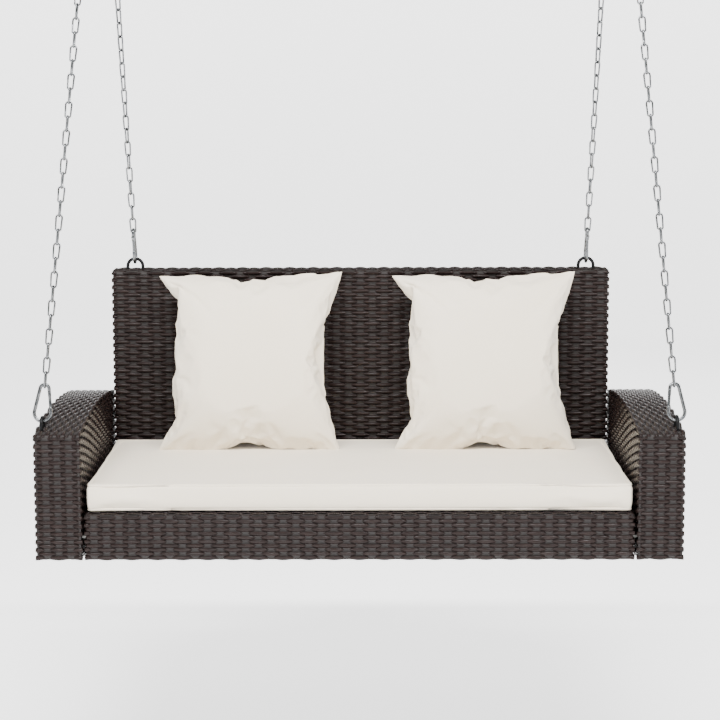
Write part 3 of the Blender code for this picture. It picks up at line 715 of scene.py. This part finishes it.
def chain_leg(name, link, top, bottom, links, twist):
    """A taut run of links between the centres of two end bars, each a quarter turn from the last."""
    along = (bottom - top).normalized()
    bar_to_bar = LINK_LENGTH - 2 * LINK_WIRE
    pitch = ((bottom - top).length - bar_to_bar) / (links - 1)
    copies = []
    for i in range(links):
        turn = Matrix.Rotation(i * math.pi / 2 + twist * i / (links - 1), 3, along)
        copy = bpy.data.objects.new(name, link.data.copy())
        bpy.context.scene.collection.objects.link(copy)
        copy.data.transform(frame_along(top + along * (pitch * i), along, turn @ Vector((1, 0, 0))))
        copies.append(copy)
    return joined(name, copies)


def clip_path(placed):
    """The bent rod of a snap hook, from the gate's nose round to its hinge."""
    fall = (CLIP_WIDE_RADIUS - CLIP_NARROW_RADIUS) / (CLIP_LENGTH - CLIP_WIDE_RADIUS - CLIP_NARROW_RADIUS)
    slope = math.asin(fall)
    side = Vector((math.sin(slope), math.cos(slope)))
    wide = Vector((CLIP_WIDE_RADIUS, 0)) + side * CLIP_WIDE_RADIUS
    narrow = Vector((CLIP_LENGTH - CLIP_NARROW_RADIUS, 0)) + side * CLIP_NARROW_RADIUS
    quarter = math.pi / 2
    flat = [wide.lerp(narrow, GATE_NOSE_AT)]
    flat += arc((CLIP_WIDE_RADIUS, 0), CLIP_WIDE_RADIUS, quarter - slope, 3 * quarter + slope, 24)
    narrow_centre = (CLIP_LENGTH - CLIP_NARROW_RADIUS, 0)
    flat += arc(narrow_centre, CLIP_NARROW_RADIUS, slope - quarter, quarter - slope, 14)
    flat.append(wide.lerp(narrow, GATE_HINGE_AT) + (narrow - wide).normalized() * HINGE_ROOM)
    return [placed @ point.to_3d() for point in flat]


# ---- Cushions


def inflate(obj, voxel, pressure, frames, cap, stiffness):
    """Blow up a closed piece of cloth, no point of it further than the cap, and smooth it once."""
    applied(obj, "REMESH", mode="VOXEL", voxel_size=voxel)
    start = [v.co.copy() for v in obj.data.vertices]
    only(obj)
    bpy.ops.object.modifier_add(type="CLOTH")
    cloth = obj.modifiers[-1]
    cloth.settings.quality = CLOTH_QUALITY
    cloth.settings.mass = CLOTH_MASS
    cloth.settings.tension_stiffness = stiffness
    cloth.settings.compression_stiffness = stiffness
    cloth.settings.shear_stiffness = stiffness / 2
    cloth.settings.bending_stiffness = CLOTH_BENDING
    cloth.settings.use_pressure = True
    cloth.settings.uniform_pressure_force = pressure
    cloth.settings.effector_weights.gravity = 0
    cloth.point_cache.frame_start = 1
    cloth.point_cache.frame_end = frames
    for frame in range(1, frames + 1):
        bpy.context.scene.frame_set(frame)
    bpy.ops.object.modifier_apply(modifier=cloth.name)
    bpy.context.scene.frame_set(1)
    for vertex, was in zip(obj.data.vertices, start):
        move = vertex.co - was
        if move.length > cap:
            vertex.co = was + move.normalized() * cap
    applied(obj, "SUBSURF", levels=1, render_levels=1)
    bpy.ops.object.shade_smooth()


def surface(obj):
    """A tree of an object's faces, to cast rays at."""
    return BVHTree.FromPolygons([v.co for v in obj.data.vertices], [p.vertices for p in obj.data.polygons])


def seam(obj, reach, points):
    """Where level rays from a distance meet a piece that stands in the XZ plane, all round the origin."""
    tree = surface(obj)
    found = []
    for k in range(points):
        angle = 2 * math.pi * k / points
        ray = Vector((math.cos(angle), 0, math.sin(angle)))
        hit = tree.ray_cast(ray * reach, -ray)[0]
        if hit:
            found.append(hit)
    return found


def box_rim(low, high, radius, spacing):
    """Points every so often round a rounded rectangle."""
    outline = outline_round(low, high, radius)
    points = []
    for a, b in zip(outline, outline[1:] + outline[:1]):
        count = max(1, round((b - a).length / spacing))
        points += [a.lerp(b, k / count) for k in range(count)]
    return points


def crowned(pad, low, high):
    """Keep a cushion inside its box, with its top a little lower towards the rim."""
    for vertex in pad.data.vertices:
        place = vertex.co
        edge_x = min(place.x - low.x, high.x - place.x) / CUSHION_RISE_OVER
        edge_y = min(place.y - low.y, high.y - place.y) / CUSHION_RISE_OVER
        rise = min(1.0, max(0.0, edge_x)) * min(1.0, max(0.0, edge_y))
        if place.z > (low.z + high.z) / 2:
            place.z = min(place.z, high.z - CUSHION_RIM_DROP + CUSHION_RISE * rise)
        else:
            place.z = max(place.z, low.z + CUSHION_FOOT_GAP)
        place.x = min(max(place.x, low.x - CUSHION_SIDE_BULGE), high.x + CUSHION_SIDE_BULGE)
        place.y = min(max(place.y, low.y - CUSHION_FRONT_BULGE), high.y)


def seat_cushion(finish):
    """A firm boxed cushion: crowned faces, and piping round both edges."""
    low, high = corners("seat_cushion")
    size = high - low - CUSHION_INSET * 2
    bpy.ops.mesh.primitive_cube_add(size=1, location=(low + high) / 2, scale=size)
    pad = new_piece("seat_cushion_pad")
    with editing(pad):
        pick(pad, "edges", lambda co: at_corner(co, low, high, CUSHION_ROUND))
        bpy.ops.mesh.bevel(offset=CUSHION_ROUND, segments=4)
    inflate(pad, CUSHION_VOXEL, CUSHION_PRESSURE, CUSHION_FRAMES, CUSHION_CROWN, CUSHION_STIFFNESS)
    crowned(pad, low, high)
    tree = surface(pad)
    rim = box_rim(low, high, CUSHION_ROUND, PIPING_SPACING)
    for name, z in (("top", high.z - CUSHION_EDGE), ("foot", low.z + CUSHION_PIPING)):
        path = []
        for before, point, after in zip(rim[-1:] + rim[:-1], rim, rim[1:] + rim[:1]):
            out = (after - before).cross(UP).normalized()
            hit = tree.ray_cast(Vector((point.x, point.y, z)) + out * PIPING_RAY, -out)[0]
            path.append(hit - out * CUSHION_PIPING * PIPING_SINK_SHARE)
        piping = rod(f"cushion_piping_{name}", path, CUSHION_PIPING, closed=True, sides=8)
        stand_in(piping, finish, "cream_cloth", "cushion")
    stand_in(pad, finish, "cream_cloth", "cushion", "seat_cushion")


def scatter_pillow(name, finish):
    """A knife-edged square pillow: two squares of cloth, sewn at their edges and stuffed."""
    node = f"pillow_{name}"
    low, high = corners(node)
    bpy.ops.mesh.primitive_cube_add(size=1, scale=(PILLOW_CUT, PILLOW_BLANK, PILLOW_CUT))
    pad = new_piece(f"scatter_pillow_{name}")
    with editing(pad):
        bpy.ops.mesh.subdivide(number_cuts=PILLOW_CUTS)
    half = PILLOW_CUT / 2
    for vertex in pad.data.vertices:
        u, v = vertex.co.x / half, vertex.co.z / half
        dome = max(0.0, (1 - u**2) * (1 - v**2)) ** 0.5
        vertex.co.y *= PILLOW_RIM_SHARE + PILLOW_DOME * dome
        vertex.co.x *= 1 + PILLOW_SIDE_BOW * (1 - v**2)
        vertex.co.z *= 1 + (PILLOW_FOOT_BOW if v < 0 else PILLOW_TOP_BOW) * (1 - u**2)
    inflate(pad, PILLOW_VOXEL, PILLOW_PRESSURE, PILLOW_FRAMES, PILLOW_CAP, PILLOW_STIFFNESS)
    wanted = (PILLOW_WIDTH, PILLOW_THICKNESS, PILLOW_SIDE + PILLOW_SETTLE)
    reaches = [[v.co[k] for v in pad.data.vertices] for k in range(3)]
    fit = [side / (max(reach) - min(reach)) for side, reach in zip(wanted, reaches)]
    pad.data.transform(Matrix.Diagonal((*fit, 1)))
    edge = seam(pad, half * SEAM_RAY, PILLOW_SEAM_POINTS)
    welt = rod(f"pillow_seam_{name}", edge, PILLOW_SEAM, closed=True, sides=6)
    lean = Matrix.Rotation(-PILLOW_LEAN, 4, "X")
    for obj in (pad, welt):
        obj.data.transform(lean)
    lowest = min(v.co.z for v in pad.data.vertices)
    rear = max(v.co.y for v in pad.data.vertices)
    place = Vector(((low.x + high.x) / 2, high.y - rear, low.z - lowest - PILLOW_SETTLE))
    for obj in (pad, welt):
        obj.data.transform(Matrix.Translation(place))
        for vertex in obj.data.vertices:
            vertex.co.z = max(vertex.co.z, low.z)
    stand_in(welt, finish, "cream_cloth", node)
    stand_in(pad, finish, "cream_cloth", node, node)


# ---- The whole swing


def rows_under(height, room):
    """How many side rows fit under a panel's top, and their pitch."""
    rows = int((height - room) / ROW)
    return rows, (height - room + ROW_SLACK) / rows


def over_top(low, high, steps, height_at):
    """Places and heights over a top from low to high, turned down a little at both ends."""
    start = [(low + TOP_BEND * (1 - math.sin(a)), height_at(low) - TOP_BEND * (1 - math.cos(a)))
             for a in BEND_ANGLES]
    level = [low + TOP_BEND + (high - low - 2 * TOP_BEND) * k / steps for k in range(1, steps)]
    end = [(low + high - place, height) for place, height in reversed(start)]
    return start + [(place, height_at(place)) for place in level] + end


def side_to_side(low, high):
    """A path over a panel's level top, from one side to the other."""
    y = (low.y + high.y) / 2
    return [Vector((x, y, z)) for x, z in over_top(low.x, high.x, LEVEL_STEPS, lambda x: high.z)]


def woven_back(level, shade):
    """The back: side rows in two pieces, a narrow top, and the painted shade inside."""
    low, high = corners("back_weave")
    rows, pitch = rows_under(high.z - low.z, BACK_TOP_ROOM)
    lower = rows // 2 // 2 * 2
    foot = ring_rows("back_rows_lower", low, high, BACK_STAKE, 0, lower, pitch, 3, BACK_SPREAD)
    head = ring_rows("back_rows_upper", low, high, BACK_STAKE, lower, rows - lower, pitch, 4, BACK_SPREAD)
    top_pitch = (high.y - low.y - TOP_MARGIN) / BACK_TOP_ROWS
    cap = cap_rows("back_rows_top", side_to_side(low, high), BACK_STAKE, BACK_TOP_ROWS, top_pitch, ACROSS, 5)
    dark = painted_shade_shell("back_weave_shade", low, high)
    stand_in(foot, level, "woven_strand", "swing_seat", "back_weave")
    stand_in(head, level, "woven_strand", "swing_seat")
    stand_in(cap, level, "woven_strand", "swing_seat")
    stand_in(dark, shade, "woven_strand", "swing_seat")


def woven_seat(level, shade):
    """The seat: its apron and sides, its deck, and the painted shade inside."""
    low, high = corners("seat_weave")
    rows, pitch = rows_under(high.z - low.z, LOW_TOP_ROOM)
    sides = ring_rows("seat_rows_side", low, high, SEAT_STAKE, 0, rows, pitch, 6, SEAT_SPREAD)
    depth = high.y - low.y
    top_rows = round(depth / ROW)
    top_pitch = (depth - SEAT_TOP_MARGIN) / top_rows
    top = cap_rows("seat_rows_top", side_to_side(low, high), SEAT_STAKE, top_rows, top_pitch, ACROSS, 7)
    dark = painted_shade_shell("seat_weave_shade", low, high)
    stand_in(sides, level, "woven_strand", "swing_seat", "seat_weave")
    stand_in(top, level, "woven_strand", "swing_seat")
    stand_in(dark, shade, "woven_strand", "swing_seat")


def woven_arm(name, level, fore_aft, shade):
    """One arm: side rows that rise with its arched top, fore-and-aft rows over it, and the painted shade
    inside.
    """
    node = f"arm_weave_{name}"
    low, high = corners(node)
    half = (high.y - low.y) / 2
    centre_y = (high.y + low.y) / 2
    edge = high.z - ARM_RISE
    radius = (ARM_RISE**2 + half**2) / (2 * ARM_RISE)

    def top_at(y):
        reach = min(abs(y - centre_y), half)
        return high.z - radius + math.sqrt(radius**2 - reach**2)

    def arched(obj):
        for vertex in obj.data.vertices:
            share = (vertex.co.z - low.z) / (edge - low.z)
            vertex.co.z = low.z + share * (top_at(vertex.co.y) - low.z)

    flat_high = Vector((high.x, high.y, edge))
    rows, pitch = rows_under(edge - low.z, LOW_TOP_ROOM)
    sides = ring_rows(f"arm_rows_side_{name}", low, flat_high, ARM_STAKE, 0, rows, pitch, 8)
    arched(sides)
    middle_x = (low.x + high.x) / 2
    path = [Vector((middle_x, y, z)) for y, z in over_top(low.y, high.y, ARCH_STEPS, top_at)]
    top_pitch = (high.x - low.x - TOP_MARGIN) / ARM_TOP_ROWS
    top = cap_rows(f"arm_rows_top_{name}", path, ARM_TOP_STAKE, ARM_TOP_ROWS, top_pitch, ASIDE, 9)
    dark = painted_shade_shell(f"arm_weave_shade_{name}", low, flat_high, arched)
    stand_in(sides, level, "woven_strand", "swing_seat", node)
    stand_in(top, fore_aft, "woven_strand", "swing_seat")
    stand_in(dark, shade, "woven_strand", "swing_seat")


def gathering_ring(name, bright):
    """The ring that gathers the chain legs of one side. It returns the ring's centre."""
    centre = middle(f"top_ring_{name}")
    circle = arc((0, 0), RING_RADIUS, 0, 2 * math.pi, 48)[:-1]
    path = [centre + Vector((0, p.x, p.y)) for p in circle]
    ring = rod(f"gathering_ring_{name}", path, RING_ROD, closed=True)
    stand_in(ring, bright, "bright_zinc", "swing_seat", f"top_ring_{name}")
    return centre


def frame_loop(place, along, black):
    """The bent rod on the frame that a snap hook hangs on. It returns the middle of the bend's crown."""
    node = f"hanging_loop_{place}"
    low, high = corners(node)
    crown = Vector(((low.x + high.x) / 2, (low.y + high.y) / 2, high.z - LOOP_ROD))
    centre = crown - Vector((0, 0, LOOP_RADIUS))
    foot = low.z - centre.z
    bend = arc((0, 0), LOOP_RADIUS, 0, math.pi, 24)
    flat = [Vector((LOOP_RADIUS, foot)), *bend, Vector((-LOOP_RADIUS, foot))]
    loop = rod(f"frame_loop_{place}", [centre + along * p.x + Vector((0, 0, p.y)) for p in flat], LOOP_ROD)
    stand_in(loop, black, "black_steel", "swing_seat", node)
    return crown


def hung_leg(place, link, ring_centre, crown, gate_side, links, twist, bright):
    """A snap hook on its loop, and the chain leg from it up to the ring."""
    up = (ring_centre - crown).normalized()
    clip_foot = crown - up * (LOOP_ROD + CLIP_ROD + CLIP_CONTACT)
    clip = rod(f"snap_hook_{place}", clip_path(frame_along(clip_foot, up, gate_side)), CLIP_ROD)
    stand_in(clip, bright, "bright_zinc", "swing_seat", f"carabiner_{place}")
    last_bar = clip_foot + up * (CLIP_LENGTH - CLIP_ROD - LINK_WIRE - CLIP_CONTACT)
    in_ring = Vector((0, up.y, up.z)).normalized()
    first_bar = ring_centre - in_ring * (RING_RADIUS - RING_ROD - LINK_WIRE - RING_CONTACT)
    chain = chain_leg(f"chain_leg_{place}", link, first_bar, last_bar, links, twist)
    stand_in(chain, bright, "bright_zinc", "swing_seat", f"chain_{place}")


def open_hook(name, side, ring_centre, ceiling):
    """The ceiling hook of one side: an open bend that the ring hangs in, a neck and a short shank."""
    node = f"ceiling_hook_{name}"
    axis = Vector((ring_centre.x, ring_centre.y, corners(node)[0].z + HOOK_ROD))
    neck_radius = HOOK_RADIUS * math.cos(HOOK_NECK_ANGLE) / (1 - math.cos(HOOK_NECK_ANGLE))
    bend = arc((0, HOOK_RADIUS), HOOK_RADIUS, HOOK_TIP_ANGLE, 2 * math.pi + HOOK_NECK_ANGLE, 30)
    neck_centre = ((HOOK_RADIUS + neck_radius) * math.cos(HOOK_NECK_ANGLE),
                   HOOK_RADIUS + (HOOK_RADIUS + neck_radius) * math.sin(HOOK_NECK_ANGLE))
    neck = arc(neck_centre, neck_radius, math.pi + HOOK_NECK_ANGLE, math.pi, 8)[1:]
    flat = [*bend, *neck, Vector((neck[-1].x, neck[-1].y + HOOK_SHANK - HOOK_ROD))]
    hook = rod(f"open_hook_{name}", [axis + Vector((side * p.x, 0, p.y)) for p in flat], HOOK_ROD)
    stand_in(hook, ceiling, "ceiling_zinc", "ceiling_fittings", node)


def hangings(name, side, black, bright, ceiling):
    """Everything that one side of the seat hangs on."""
    ring_centre = gathering_ring(name, bright)
    link = chain_link()
    for end, along, gate_side, links, twist in (
        ("front", ACROSS, ASIDE * -side, FRONT_LINKS, FRONT_TWIST),
        ("back", ASIDE, -ACROSS, BACK_LINKS, BACK_TWIST),
    ):
        place = f"{end}_{name}"
        crown = frame_loop(place, along, black)
        hung_leg(place, link, ring_centre, crown, gate_side, links, side * twist, bright)
    bpy.data.objects.remove(link)
    open_hook(name, side, ring_centre, ceiling)


def refinish(nodes, finish, *starts):
    """Give the model's own nodes a better finish, by how their names start."""
    for name, obj in nodes.items():
        if name.startswith(starts):
            obj.data.materials.clear()
            obj.data.materials.append(finish)


def sweep(seat_foot, middle_y):
    """A pale floor that curves up all round."""
    bpy.ops.mesh.primitive_circle_add(
        vertices=SWEEP_SIDES, radius=SWEEP_RADIUS, fill_type="NGON",
        location=(0, middle_y, seat_foot - FLOOR_DROP),
    )
    floor = new_piece("studio_floor")
    with editing(floor):
        bpy.ops.mesh.region_to_loop()
        radius, height = SWEEP_RADIUS, 0.0
        for k in range(1, SWEEP_STEPS + 1):
            turn = k * math.pi / (2 * SWEEP_STEPS)
            wider, higher = SWEEP_RADIUS + SWEEP_BEND * math.sin(turn), SWEEP_BEND * (1 - math.cos(turn))
            bpy.ops.mesh.extrude_region_move(TRANSFORM_OT_translate={"value": (0, 0, higher - height)})
            bpy.ops.transform.resize(value=(wider / radius, wider / radius, 1))
            radius, height = wider, higher
    bpy.ops.object.shade_smooth()
    finish = Finish("studio_paper", Roughness=0.9, Emission_Color=(1, 1, 1, 1), Emission_Strength=PAPER_GLOW)
    finish.set("Base Color", finish.shade(finish.noise(0.7), PAPER_COLOURS))
    floor.data.materials.append(finish.material)


def lights(seat_foot, middle_y):
    """A strip overhead, the only one that shows in the sheen, two fills, and a plain white sky."""
    for name, place, size, power, aim_height in LIGHTS:
        data = bpy.data.lights.new(name, "AREA")
        data.shape = "RECTANGLE"
        data.size, data.size_y = size
        data.energy = power
        light = bpy.data.objects.new(name, data)
        light.location = Vector(place) + Vector((0, middle_y, 0))
        light.visible_glossy = name == "overhead"
        aim = Vector((0, middle_y, seat_foot + aim_height))
        light.rotation_euler = (aim - light.location).to_track_quat("-Z", "Y").to_euler()
        bpy.context.scene.collection.objects.link(light)
    world = bpy.data.worlds.new("studio_light")
    world.use_nodes = True
    world.node_tree.nodes["Background"].inputs["Color"].default_value = (1, 1, 1, 1)
    world.node_tree.nodes["Background"].inputs["Strength"].default_value = SKY_STRENGTH
    bpy.context.scene.world = world


def camera(seat_foot, middle_y):
    """A long lens in front of the swing, a little above it."""
    ahead = Vector((math.sin(CAMERA_YAW), math.cos(CAMERA_YAW), 0))
    forward = ahead * math.cos(CAMERA_DOWN) - UP * math.sin(CAMERA_DOWN)
    level = ahead.cross(UP)
    upright = level.cross(forward)
    right = level * math.cos(CAMERA_ROLL) + upright * math.sin(CAMERA_ROLL)
    up = upright * math.cos(CAMERA_ROLL) - level * math.sin(CAMERA_ROLL)
    data = bpy.data.cameras.new("camera")
    data.lens = CAMERA_LENS
    data.sensor_width = CAMERA_SENSOR
    data.sensor_fit = "HORIZONTAL"
    view = bpy.data.objects.new("camera", data)
    matrix = Matrix((right, up, -forward)).transposed().to_4x4()
    matrix.translation = CAMERA_PLACE + Vector((0, middle_y, seat_foot))
    view.matrix_world = matrix
    bpy.context.scene.collection.objects.link(view)
    bpy.context.scene.camera = view


def main():
    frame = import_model()
    nodes = frame["nodes"]

    seat_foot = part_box("seat_weave")[0][2]
    arm_low, arm_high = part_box("arm_weave_left")
    middle_y = (arm_low[1] + arm_high[1]) / 2
    camera(seat_foot, middle_y)
    sweep(seat_foot, middle_y)
    lights(seat_foot, middle_y)

    level = strand_finish("level_strand", "Z", (1, 1, 6))
    fore_aft = strand_finish("fore_aft_strand", "X", (6, 1, 1))
    shade = painted_shade_finish()
    frame_steel = coated_steel_finish("frame_powder_coat", FRAME_COLOURS, rough=0.45)
    black = coated_steel_finish("black_enamel", ENAMEL_COLOURS, rough=0.34)
    bright = zinc_finish("bright_zinc_plate", BRIGHT_COLOURS, smooth=0.18, dull=0.34)
    ceiling = zinc_finish("ceiling_zinc_plate", CEILING_COLOURS, smooth=0.24, dull=0.42)
    bolts = zinc_finish("bolt_zinc_plate", BOLT_COLOURS, smooth=0.28, dull=0.46)
    cream = cloth_finish("cream_cloth", CLOTH_COLOURS)

    refinish(nodes, frame_steel, "arm_frame", "back_frame", "seat_frame")
    refinish(nodes, bolts, "arm_bolt", "back_bolt", "back_rail_bolt", "lag_screw")
    refinish(nodes, bright, "carabiner_gate", "carabiner_rivet")
    refinish(nodes, ceiling, "ceiling_plate")

    woven_back(level, shade)
    woven_seat(level, shade)
    for name, side in SIDES:
        woven_arm(name, level, fore_aft, shade)
        hangings(name, side, black, bright, ceiling)
    seat_cushion(cream)
    for name, _ in SIDES:
        scatter_pillow(name, cream)


main()
